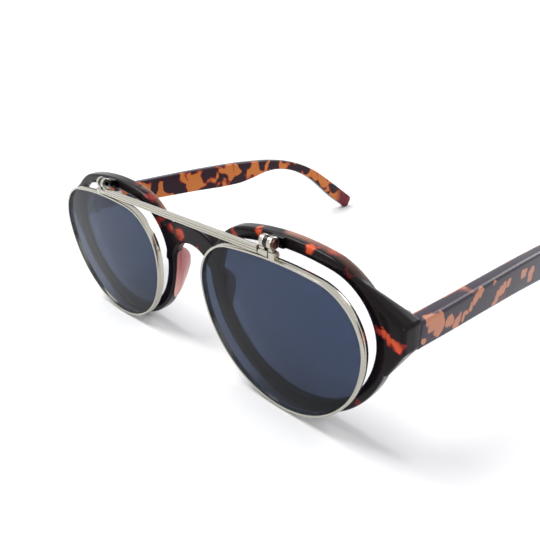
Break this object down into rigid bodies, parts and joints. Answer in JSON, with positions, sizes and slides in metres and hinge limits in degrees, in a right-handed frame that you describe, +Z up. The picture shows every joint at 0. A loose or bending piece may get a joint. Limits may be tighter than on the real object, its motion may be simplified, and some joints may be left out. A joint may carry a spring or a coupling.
{
  "type": "flip up sunglasses",
  "caption": "Tortoiseshell glasses with folding temples and a metal front of tinted lenses that swings up on barrel hinges above the clear lenses.",
  "frame": {"origin": "on the table plane, under the middle of the object as it stands open, with the tinted front closed", "axes": "+X towards the wearer's left, +Y from the front back to the temple tips, +Z up"},
  "size_m": [0.136, 0.1559, 0.045],
  "materials": {
    "tortoise": "polished tortoiseshell",
    "clear_glass": "clear",
    "smoke_glass": "blue grey tint",
    "pad": "translucent pink brown",
    "hinge_metal": "satin",
    "flip_metal": "polished, warm silver"
  },
  "bodies": {
    "spectacle_frame": {"front_frame": "tortoise", "clear_lens_left": "clear_glass", "clear_lens_right": "clear_glass", "nose_pad_left": "pad", "nose_pad_right": "pad", "front_hinge_leaf_left": "hinge_metal", "front_hinge_leaf_right": "hinge_metal", "temple_hinge_screw_left": "hinge_metal", "temple_hinge_screw_right": "hinge_metal", "flip_bracket_left": "flip_metal", "flip_bracket_right": "flip_metal"},
    "flip_front": {"flip_rim_left": "flip_metal", "flip_rim_right": "flip_metal", "flip_lens_left": "smoke_glass", "flip_lens_right": "smoke_glass", "flip_leaf_left": "flip_metal", "flip_leaf_right": "flip_metal", "flip_pin_left": "flip_metal", "flip_pin_right": "flip_metal", "rim_lock_screw_left": "flip_metal", "rim_lock_screw_right": "flip_metal", "brow_bar": "flip_metal"},
    "left_temple_arm": {"temple_left": "tortoise", "temple_hinge_leaf_left": "hinge_metal"},
    "right_temple_arm": {"temple_right": "tortoise", "temple_hinge_leaf_right": "hinge_metal"}
  },
  "joints": [
    {"name": "flip_up", "type": "hinge", "parent": "spectacle_frame", "child": "flip_front", "pos_m": [0, -0.07645, 0.04346], "axis": [-1, 0, 0], "range_deg": [0, 95]},
    {"name": "fold_left", "type": "hinge", "parent": "spectacle_frame", "child": "left_temple_arm", "pos_m": [0.06275, -0.06429, 0.02923], "axis": [0, 0, 1], "range_deg": [0, 91]},
    {"name": "fold_right", "type": "hinge", "parent": "spectacle_frame", "child": "right_temple_arm", "pos_m": [-0.06275, -0.06429, 0.02923], "axis": [0, 0, -1], "range_deg": [0, 81]}
  ]
}
